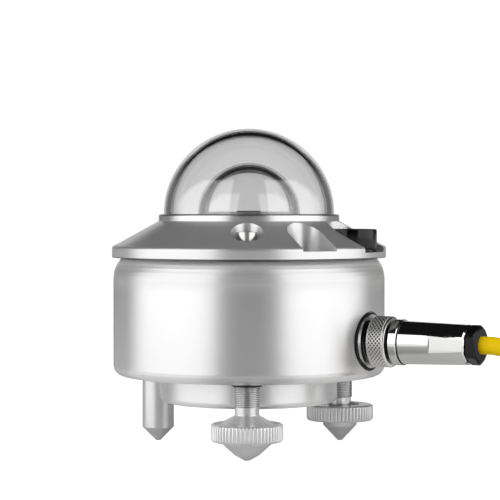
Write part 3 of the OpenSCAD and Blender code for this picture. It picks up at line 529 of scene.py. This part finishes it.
# The shoulder is also more matt than the side
shade = reopen("satin_body")
matt = linear(shade, above_table(shade), 46 * MM, 51 * MM, BODY_METAL, SHOULDER_METAL)
shade.link(matt, shade.p.inputs["Metallic"])
# painted shade along the cover's bottom edge, where it meets the housing
darken_below("satin_cover", 55.9, RIM_SHADE)
# painted shadow on the plug's neck in the gaps beside the nut and the ring
darken_gap("plated_shell", 46.0, 50.78, 5.3)
plated("bushing_black", (0.05, 0.05, 0.05), 0.45)
plated("gold", (0.9, 0.62, 0.22), 0.25)
plated("brass", (0.7, 0.52, 0.25), 0.3)
plated("tin", (0.62, 0.62, 0.6), 0.3)
plastic("rubber", (0.005, 0.005, 0.005), 0.5, spec=0.25)
plastic("cup_black", (0.002, 0.002, 0.002), 0.12, grain=900, depth=0.05, bevel=0.00012, spec=0.3)
plastic("insert_black", (0.02, 0.02, 0.022), 0.4)
plastic("gland_black", (0.004, 0.004, 0.005), 0.3, grain=900, depth=0.15, bevel=0.00015, spec=0.2)
plastic("receiver_black", (0.008, 0.008, 0.008), 0.9, grain=5000)
plastic("plate_white", (0.78, 0.78, 0.77), 0.3, bevel=0.0001)
plastic("ceramic", (0.72, 0.62, 0.48), 0.5)
plastic("white_plastic", (0.75, 0.75, 0.73), 0.4, bevel=0.0001)
plastic("board", (0.02, 0.13, 0.05), 0.35, grain=500, coat=0.5)
plastic("chips", (0.03, 0.03, 0.032), 0.5, bevel=0.0001)
plastic("wire_red", (0.5, 0.03, 0.02), 0.4)
plastic("shrink_black", (0.016, 0.016, 0.017), 0.42, grain=900)
plastic("jacket_yellow", (0.98, 0.66, 0.0), 0.5, grain=1600, depth=0.2, vary=0.03, sub=0.05, spec=0.12)
glass("dome_outer", (0.97, 0.97, 0.97))
glass("dome_inner", (0.99, 0.99, 0.99))
glass("level_clear", (0.97, 0.99, 0.97), ior=1.5)
glass("level_liquid", (0.72, 0.88, 0.12), ior=1.36)
glass("bubble_gas", (0.97, 1.0, 0.85), ior=1.12)


def dress(o, mat):
    o.data.materials.clear()
    o.data.materials.append(MATS[mat])


def piece(o, mat, body, slot, *replaced):
    """Dress a drawn piece, join it to its body, and let it stand for the CAD nodes it replaces."""
    dress(o, mat)
    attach(o, body)
    if replaced:
        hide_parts(*replaced)


# Cable, which lies in a coil at the right
def make_cable():
    per_turn = 24
    coil = [coil_point(i / per_turn) for i in range(LOOPS * LAYERS * per_turn + 1)]
    points = run_points + coil + [coil_last] + tail_points[1:]
    cable = curve_object("cable", points, CABLE_R, resolution=3, sides=7)
    piece(cable, "jacket_yellow", "body", "cable_yellow", "cable_run", "cable_coil", "cable_tail")
    # the coil lies beyond the picture and isn't mirrored in the metal of the photograph either
    cable.visible_glossy = False
    extras = []

    # ties: a soft band with round corners, round the coil's section
    slack = 0.2
    r_in = COIL_R - LOOPS * COIL_PITCH - CABLE_R - slack
    r_out = COIL_R + CABLE_R + slack
    low, high = 0.8, run_last.z + (LAYERS - 1) * COIL_PITCH + CABLE_R + slack
    for n, turn in enumerate((170, 300)):
        a = coil_start + math.radians(turn)
        radial, tang = Vector((math.cos(a), math.sin(a), 0)), Vector((-math.sin(a), math.cos(a), 0))
        centre = coil_center - Vector((0, 0, run_last.z))
        bend = 2.2
        ring = []
        for cx, cz, a0 in ((r_out - bend, high - bend, 0), (r_in + bend, high - bend, 90),
                           (r_in + bend, low + bend, 180), (r_out - bend, low + bend, 270)):
            ring += [(cx, cz, math.radians(a0 + 90 * k / 8)) for k in range(9)]
        verts, dense = [], []
        half, t = 4.5, 0.8
        for k in range(len(ring)):
            c, d = ring[k], ring[(k + 1) % len(ring)]
            p0 = (c[0] + bend * math.cos(c[2]), c[1] + bend * math.sin(c[2]), c[2])
            p1 = (d[0] + bend * math.cos(d[2]), d[1] + bend * math.sin(d[2]), d[2])
            gap = math.hypot(p1[0] - p0[0], p1[1] - p0[1])
            steps = max(1, int(gap / 1.2))
            for s in range(steps):
                u = s / steps
                dense.append((p0[0] + (p1[0] - p0[0]) * u, p0[1] + (p1[1] - p0[1]) * u, c[2]))
        for x, z, nrm in dense:
            out = (math.cos(nrm), math.sin(nrm))
            for w, h in ((-half, 0.05), (-half, t - 0.12), (-half + 0.3, t),
                         (half - 0.3, t), (half, t - 0.12), (half, 0.05)):
                verts.append((centre + radial * (x + out[0] * h) + tang * w + Vector((0, 0, z + out[1] * h))) * MM)
        faces = grid_faces(len(dense), 6, True)
        strap = add_mesh(f"coil_strap_{n}", verts, faces, 50)
        woven(f"strap_weave_{n}", (0.018, 0.018, 0.02), tang, (radial + Vector((0, 0, 1))).normalized(), 0.0007)
        piece(strap, f"strap_weave_{n}", "body", "tie_fabric")
        if n == 0:
            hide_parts("coil_ties")
        extras.append(strap)

    # heat-shrink sleeve, shrunk down at both ends
    end = tail_points[-1]
    m = axis_frame(end * MM, tail_dir)
    prof = [(2.56, -9.33), (2.72, -9.2), (3.0, -8.6), (3.1, -7), (3.12, -3), (3.08, 0), (3.02, 2.5), (2.8, 4.0),
            (2.55, 4.55), (2.3, 4.66), (2.2, 4.3), (2.2, 0.2), (2.56, 0.0)]
    sleeve = lathe("cable_end_sleeve", prof, 64, m, closed=True,
                   radius=lambda a, r, z: r + 0.05 * math.sin(3 * a + z) * (1 if r > 2.7 else 0))
    piece(sleeve, "shrink_black", "body", "sleeve_black", "cable_sleeve")
    extras.append(sleeve)

    # five insulated cores with crimped ferrules
    side = Vector((0, 0, 1)).cross(tail_dir).normalized()
    up = tail_dir.cross(side)
    hues = ((0.45, 0.04, 0.03), (0.03, 0.10, 0.38), (0.62, 0.60, 0.55), (0.03, 0.03, 0.032), (0.04, 0.25, 0.08))
    for i, hue in enumerate(hues):
        a = TAU * i / 5
        # the CAD's own turn of the ring of cores: local X is straight down
        off = 1.1 * (math.cos(a) * -up + math.sin(a) * side)
        fan = 0.55 * off.normalized()
        path = [end + off + tail_dir * 0.1, end + off + tail_dir * 7, end + off + fan * 0.5 + tail_dir * 14,
                end + off + fan + tail_dir * 20.0]
        core = as_mesh(curve_object(f"core_{i}", path, 0.55, 8, 4))
        plastic(f"core_skin_{i}", hue, 0.35, grain=2500)
        piece(core, f"core_skin_{i}", "body", "core_insulation")
        tip_dir = (path[3] - path[2]).normalized()
        fm = axis_frame(path[3] * MM, tip_dir)
        prof = [(0.66, -1.6), (0.78, -1.5), (0.78, -0.2), (0.62, 0.2), (0.58, 0.5)]
        prof += [(0.55 - (0.07 if k % 2 else 0.0), 1.0 + 0.55 * k) for k in range(12)] + [(0.5, 7.8), (0.4, 8.0)]
        ferrule = lathe(f"ferrule_{i}", prof, 24, fm)
        piece(ferrule, "tin", "body", "tin_ferrule")
        if i == 0:
            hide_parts("cable_cores")
            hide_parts("core_ferrules")
        extras += [core, ferrule]


make_cable()


# Domes
def make_domes():
    edge = 0.15
    for name, ro, low, mat, node in (("outer_glass", OUTER_DOME_R, 66.9, "dome_outer", "outer_dome"),
                                     ("inner_glass", INNER_DOME_R, 67.3, "dome_inner", "inner_dome")):
        ri = ro - DOME_WALL
        prof = [(0.02, DOME_BASE + ri)] + arc(0, DOME_BASE, ri, 89, 0, 88)
        prof += [(ri, low + edge), (ri + edge, low), (ro - edge, low), (ro, low + edge)]
        prof += arc(0, DOME_BASE, ro, 0, 89, 88) + [(0.02, DOME_BASE + ro)]
        piece(lathe(name, prof, 256), mat, "body", "dome_glass", node)


make_domes()


# Levelling screws
WHEEL_R, TEETH, TOOTH_DEPTH = 10.05, 56, 0.45


def thread_radius(a, r, z):
    """Helix on the points that lie on the thread's outside."""
    if r < THREAD_R - 0.01:
        return r
    t = (z / PITCH - a / TAU) % 1.0
    return THREAD_R - THREAD_DEPTH * (1 - abs(2 * t - 1)) ** 1.2


def wheel_radius(a, r):
    """Knurl of a thumbwheel: straight teeth with round crests."""
    crest = abs(math.sin(TEETH * a / 2)) ** 0.55
    return min(r, WHEEL_R - TOOTH_DEPTH * (1 - crest))


def make_screw(name, centre, rows, thread_z, mat, body, node):
    """rows: wheel rows as (radius, height, knurled); then the neck and the thread up to the spindle's top."""
    segments = 10 * TEETH
    m = Matrix.Translation(centre * MM)
    verts = []
    for r, z, k in rows:
        for i in range(segments):
            a = TAU * i / segments
            rr = wheel_radius(a, r) if k else r
            verts.append(m @ Vector((rr * math.cos(a) * MM, rr * math.sin(a) * MM, z * MM)))
    faces = grid_faces(len(rows), segments)
    wheel = add_mesh(name + "_wheel", verts, faces, 40)
    piece(wheel, mat, body, "satin_aluminium", node)
    foot = rows[-1][1] - 0.3
    prof = [(0.02, foot), (NECK_R, foot), (NECK_R, thread_z - 0.05)]
    z = thread_z
    while z < SPINDLE_TOP:
        prof.append((THREAD_R, z))
        z += PITCH / 8
    prof += [(THREAD_R - THREAD_DEPTH, SPINDLE_TOP), (0.02, SPINDLE_TOP)]
    stem = lathe(name + "_thread", prof, 72, m, radius=thread_radius, sharp=60)
    piece(stem, mat.replace("satin", "thread"), body, "satin_aluminium")


def wheel_rows(z0, z1, top):
    """Rows of a thumbwheel between its faces; top is the height of its upper rounding."""
    low = [(9.1, 0.0, 0), (9.42, 0.02, 1), (9.65, 0.11, 1), (9.85, 0.28, 1), (9.98, 0.5, 1),
           (WHEEL_R, 0.85, 1), (WHEEL_R, 2.2, 1)]
    high = [(WHEEL_R, 1.0, 1), (10.0, 0.7, 1), (9.9, 0.45, 1), (9.75, 0.23, 1), (9.55, 0.08, 1)]
    return ([(2.1, z0 + 3.6, 0), (2.1, z0 + 0.1, 0), (2.2, z0, 0)] + [(r, z0 + h, k) for r, h, k in low]
            + [(r, z1 - h * top, k) for r, h, k in high])


front_rows = wheel_rows(5.3, 10.3, 0.9)
front_rows += [(9.3, 10.3, 0), (8.6, 10.36, 0), (7.8, 10.4, 0), (7.3, 10.46, 0), (6.3, 11.0, 0), (5.3, 11.55, 0),
               (4.3, 12.1, 0), (3.7, 12.42, 0), (3.45, 12.58, 0), (NECK_R, 12.75, 0)]
right_rows = wheel_rows(6.1, 10.9, 0.7)
right_rows += [(9.3, 10.9, 0), (6.0, 10.9, 0), (5.9, 10.85, 0), (5.9, 10.32, 0), (5.8, 10.3, 0),
               (3.5, 10.3, 0), (NECK_R, 10.4, 0)]
make_screw("front_levelling", FRONT, front_rows, FRONT_THREAD_Z, "satin_front", "front_screw", "front_foot_screw")
make_screw("right_levelling", RIGHT, right_rows, RIGHT_THREAD_Z, "satin_right", "right_screw", "right_foot_screw")


# Level's cup, with rounded edges and a groove at its foot
def make_cup():
    outline = [(0.02, 0.6), (1.05, 0.6), (1.05, 0.02), (6.95, 0.02), (7.1, 0.15), (7.1, 0.5), (7.05, 0.65),
               (6.85, 0.75), (6.8, 0.9), (6.85, 1.05), (7.05, 1.15), (7.1, 1.3), (7.1, 6.0), (7.07, 6.3),
               (6.95, 6.5), (6.75, 6.58), (6.1, 6.58), (5.85, 6.5), (5.7, 6.3), (5.7, 1.2), (5.65, 1.15),
               (0.02, 1.15)]
    cup = lathe("level_cup_round", [(r, CUP_Z + h) for r, h in outline], 160, Matrix.Translation(LEVEL * MM))
    piece(cup, "cup_black", "body", "black_plastic", "level_cup")


make_cup()


# Coupling nut with its diamond knurl
def make_nut():
    z0, z1 = NUT_START, NUT_END
    around, along, depth = 36, 1.1, 0.3
    segments, rows = around * 12, 66
    verts, tone = [], []
    profile = [(6.0, z0 + 0.3, 0), (6.05, z0, 0), (6.9, z0, 0), (7.1, z0 + 0.1, 0), (7.2, z0 + 0.3, 0)]
    k0, k1 = z0 + 0.45, z1 - 0.7
    profile += [(7.22, k0 + (k1 - k0) * j / rows, 1) for j in range(rows + 1)]
    profile += [(7.02, z1 - 0.64, 0), (7.05, z1 - 0.52, 0), (6.95, z1 - 0.25, 0), (6.82, z1 - 0.06, 0),
                (6.68, z1, 0), (5.35, z1, 0), (5.3, z1 - 0.1, 0), (5.3, z1 - 0.8, 0), (6.0, z1 - 0.8, 0)]
    for r, z, k in profile:
        for i in range(segments):
            a = TAU * i / segments
            pit = 0.0
            if k:
                u = around * a / TAU + (z - k0) / along
                v = around * a / TAU - (z - k0) / along
                du, dv = abs((u % 1) * 2 - 1), abs((v % 1) * 2 - 1)
                pit = max(0.0, (min(1 - du, 1 - dv) - 0.18) / 0.82)
                edge = min(1.0, (z - k0) / 0.2, (k1 - z) / 0.2)
                pit *= max(0.0, edge)
            rr = r - depth * pit
            verts.append(PLUG @ Vector((rr * math.cos(a) * MM, rr * math.sin(a) * MM, z * MM)))
            tone.append(pit)
    nut = add_mesh("knurled_nut", verts, grid_faces(len(profile), segments, True), 60)
    layer = nut.data.attributes.new("pit", "FLOAT", "POINT")
    layer.data.foreach_set("value", tone)
    g = Graph("knurl_metal")
    pit = g.n("ShaderNodeAttribute", attribute_name="pit")
    grain = g.noise(g.at(), 2500.0, 3.0, 0.6)
    # painted shade: the colour darkens with the depth of the knurl's pits, nearly to black at their bottom
    tones = [(0.0, (0.66, 0.65, 0.63)), (0.45, (0.3, 0.295, 0.29)), (1.0, (0.02, 0.02, 0.02))]
    shade = g.ramp(g.math("POWER", pit.outputs["Fac"], 0.8), tones)
    g.set(color=shade, metal=1.0, rough=g.spread(grain, 0.24, 0.34))
    g.bump(grain, 0.1, 0.00001)
    MATS["knurl_metal"] = g.mat
    piece(nut, "knurl_metal", "nut", "nickel", "coupling_nut")


make_nut()

# Carried-over CAD nodes
for mat, names in {
    "satin_body": "housing base_cover",
    "rubber": "base_seal cover_seal dome_ring_seal outer_dome_gasket inner_dome_gasket socket_seal plug_seal"
              " gland_grommet",
    "screw_steel": "base_screws cover_screws heat_sink_screws board_screws level_screw",
    "white_plastic": "drying_cartridge",
    "satin_cover": "top_cover",
    "bright_ring": "dome_ring",
    "plate_white": "detector_plate",
    "sink_metal": "heat_sink",
    "ceramic": "thermopile",
    "receiver_black": "sensor_disc compensation_disc",
    "gold": "sensor_leads socket_pins plug_contacts",
    "board": "circuit_board",
    "chips": "board_components",
    "brass": "board_standoffs",
    "level_clear": "level_glass",
    "level_liquid": "level_fluid",
    "bubble_gas": "level_bubble",
    "satin_fixed": "fixed_foot",
    "bushing_black": "foot_bushings",
    "satin_front": "front_foot_tip",
    "satin_right": "right_foot_tip",
    "plated_socket": "socket_shell",
    "insert_black": "socket_insert plug_insert",
    "wire_red": "socket_wires",
    "plated_shell": "plug_ring plug_shell",
    "gland_black": "gland_nut",
}.items():
    for node in names.split():
        dress(nodes[node], mat)


# Floor, backdrop, light
# Where the boards' glow changes: distances from the origin in metres
GLOW_RANGE, NEAR_RANGE = (0.25, 0.8), (0.05, 0.12)
# and parts of the direction from it, to the side and away from the camera
SIDE_RANGE, FAR_RANGE = (0.3, 0.65), (0.05, 0.45)
# Share of the mirrored glow close to the object, where it is lowered as painted shade
NEAR_SHARE = 0.6


def pale(name, diffuse, glow, seen):
    """Plain board. Its glow for the camera goes from a near to a far value.

    seen is the glow for metal and glass, with painted light where it rises at the sides: in front and behind, at
    the sides, and a factor for the far side.
    """
    m = bpy.data.materials.new(name)
    m.use_nodes = True
    nt = m.node_tree
    nt.nodes.clear()
    out, add = nt.nodes.new("ShaderNodeOutputMaterial"), nt.nodes.new("ShaderNodeAddShader")
    dif, em = nt.nodes.new("ShaderNodeBsdfDiffuse"), nt.nodes.new("ShaderNodeEmission")
    lp, geo = nt.nodes.new("ShaderNodeLightPath"), nt.nodes.new("ShaderNodeNewGeometry")
    far = nt.nodes.new("ShaderNodeVectorMath")
    far.operation = "LENGTH"
    nt.links.new(geo.outputs["Position"], far.inputs[0])

    def spread(value, ends, low, high, kind):
        r = nt.nodes.new("ShaderNodeMapRange")
        r.interpolation_type = kind
        nt.links.new(value, r.inputs[0])
        for i, v in enumerate((*ends, low, high), 1):
            r.inputs[i].default_value = v
        return r.outputs[0]

    def calc(op, a, b):
        n = nt.nodes.new("ShaderNodeMath")
        n.operation = op
        nt.links.new(a, n.inputs[0])
        nt.links.new(b, n.inputs[1])
        return n.outputs[0]

    shown = spread(far.outputs["Value"], GLOW_RANGE, glow[0], glow[1], "LINEAR")
    cam = calc("MULTIPLY", lp.outputs["Is Camera Ray"], shown)
    mirror = calc("MAXIMUM", lp.outputs["Is Glossy Ray"], lp.outputs["Is Transmission Ray"])
    side = nt.nodes.new("ShaderNodeSeparateXYZ")
    unit = nt.nodes.new("ShaderNodeVectorMath")
    unit.operation = "NORMALIZE"
    nt.links.new(geo.outputs["Position"], unit.inputs[0])
    nt.links.new(unit.outputs[0], side.inputs[0])
    wide = nt.nodes.new("ShaderNodeMath")
    wide.operation = "ABSOLUTE"
    nt.links.new(side.outputs["X"], wide.inputs[0])
    # painted light: the mirrored glow rises towards the sides
    reach = calc("MULTIPLY", spread(wide.outputs[0], SIDE_RANGE, seen[0], seen[1], "SMOOTHSTEP"),
                 spread(side.outputs["Y"], FAR_RANGE, 1.0, seen[2], "SMOOTHSTEP"))
    # painted shade: the mirrored glow falls close to the object
    under = spread(far.outputs["Value"], NEAR_RANGE, NEAR_SHARE, 1.0, "LINEAR")
    mirror = calc("MULTIPLY", mirror, calc("MULTIPLY", reach, under))
    nt.links.new(calc("ADD", cam, mirror), em.inputs["Strength"])
    dif.inputs[0].default_value = (diffuse, diffuse, diffuse, 1)
    nt.links.new(dif.outputs[0], add.inputs[0])
    nt.links.new(em.outputs[0], add.inputs[1])
    nt.links.new(add.outputs[0], out.inputs[0])
    return m


def board(name, corners, mat):
    """Flat board of the stage."""
    me = bpy.data.meshes.new(name)
    me.from_pydata(corners, [], [(0, 1, 2, 3)])
    o = bpy.data.objects.new(name, me)
    o.data.materials.append(mat)
    scene.collection.objects.link(o)


board("floor", [(-4, -4, 0), (4, -4, 0), (4, 4, 0), (-4, 4, 0)],
      pale("floor_board", 0.7, (0.84, 1.0), (0.12, 0.78, 0.3)))
board("backdrop", [(-0.6, 1.7, 0), (0.6, 1.7, 0), (0.6, 1.7, 0.75), (-0.6, 1.7, 0.75)],
      pale("back_board", 0.1, (1.0, 1.0), (0.70, 0.70, 1.0)))


# The room seen in metal: near side and far side at eye level, and the ceiling; the fill on matt surfaces
ROOM, FILL = (0.05, 0.18, 0.012), 0.4
# Parts of the direction, up and away, over which the room changes
CEILING, AWAY = (0.15, 0.45), (-0.3, 0.3)


def make_world():
    """White for the camera; soft fill for matt surfaces; metal and glass see a dim room with a paler far side."""
    w = bpy.data.worlds.new("studio")
    scene.world = w
    w.use_nodes = True
    nt = w.node_tree
    nt.nodes.clear()
    out, bg = nt.nodes.new("ShaderNodeOutputWorld"), nt.nodes.new("ShaderNodeBackground")
    lp, co = nt.nodes.new("ShaderNodeLightPath"), nt.nodes.new("ShaderNodeTexCoord")
    sep = nt.nodes.new("ShaderNodeSeparateXYZ")
    nt.links.new(co.outputs["Generated"], sep.inputs[0])

    def span(value, a, b, low, high):
        r = nt.nodes.new("ShaderNodeMapRange")
        r.interpolation_type = "SMOOTHSTEP"
        for i, v in enumerate((value, a, b, low, high)):
            if hasattr(v, "is_output"):
                nt.links.new(v, r.inputs[i])
            else:
                r.inputs[i].default_value = v
        return r.outputs[0]

    high = span(sep.outputs["Z"], *CEILING, 1.0, 0.0)
    back = span(sep.outputs["Y"], *AWAY, ROOM[0], ROOM[1])
    room = nt.nodes.new("ShaderNodeMath")
    room.operation = "MULTIPLY_ADD"
    nt.links.new(high, room.inputs[0])
    nt.links.new(back, room.inputs[1])
    room.inputs[2].default_value = ROOM[2]
    fill = span(lp.outputs["Is Diffuse Ray"], 0.0, 1.0, room.outputs[0], FILL)
    nt.links.new(span(lp.outputs["Is Camera Ray"], 0.0, 1.0, fill, 1.0), bg.inputs["Strength"])
    nt.links.new(bg.outputs[0], out.inputs[0])


make_world()


def softbox(name, side, radiance):
    """Tall lit screen that bends round one side of the object, from near the camera to beside it.

    Turns are in degrees from the camera's direction, lengths in metres. The screen's top falls along it in two
    slopes, and its light fades out at the end.
    """
    first, last, steps = 26.0, 124.0, 49
    dist, base = 1.0, 0.068
    top, bend, slope = 46.0, 32.0, 0.19
    far_bend, far_slope = 80.0, 0.65
    fade_start, fade_over = 94.0, 30.0
    verts, faces, power = [], [], []
    for i in range(steps + 1):
        phi = first + (last - first) * i / steps
        rise = math.radians(top - max(0.0, phi - bend) * slope - max(0.0, phi - far_bend) * far_slope)
        x, y = side * dist * math.sin(math.radians(phi)), -dist * math.cos(math.radians(phi))
        fade = 1.0 - ease((phi - fade_start) / fade_over)
        verts += [(x, y, 0.0), (x, y, base + dist * math.tan(rise))]
        power += [fade, fade]
        if i:
            a = 2 * i
            faces.append((a - 2, a, a + 1, a - 1) if side > 0 else (a, a - 2, a - 1, a + 1))
    me = bpy.data.meshes.new(name)
    me.from_pydata(verts, [], faces)
    me.attributes.new("power", "FLOAT", "POINT").data.foreach_set("value", power)
    o = bpy.data.objects.new(name, me)
    scene.collection.objects.link(o)
    m = bpy.data.materials.new(name)
    m.use_nodes = True
    nt = m.node_tree
    nt.nodes.clear()
    out, em = nt.nodes.new("ShaderNodeOutputMaterial"), nt.nodes.new("ShaderNodeEmission")
    at = nt.nodes.new("ShaderNodeAttribute")
    at.attribute_name = "power"
    k = nt.nodes.new("ShaderNodeMath")
    k.operation = "MULTIPLY"
    k.inputs[1].default_value = radiance
    nt.links.new(at.outputs["Fac"], k.inputs[0])
    nt.links.new(k.outputs[0], em.inputs["Strength"])
    nt.links.new(em.outputs[0], out.inputs[0])
    me.materials.append(m)
    o.visible_camera = False


SCREEN_LIGHT = 2.07
softbox("softbox_left", -1, SCREEN_LIGHT)
softbox("softbox_right", 1, SCREEN_LIGHT)
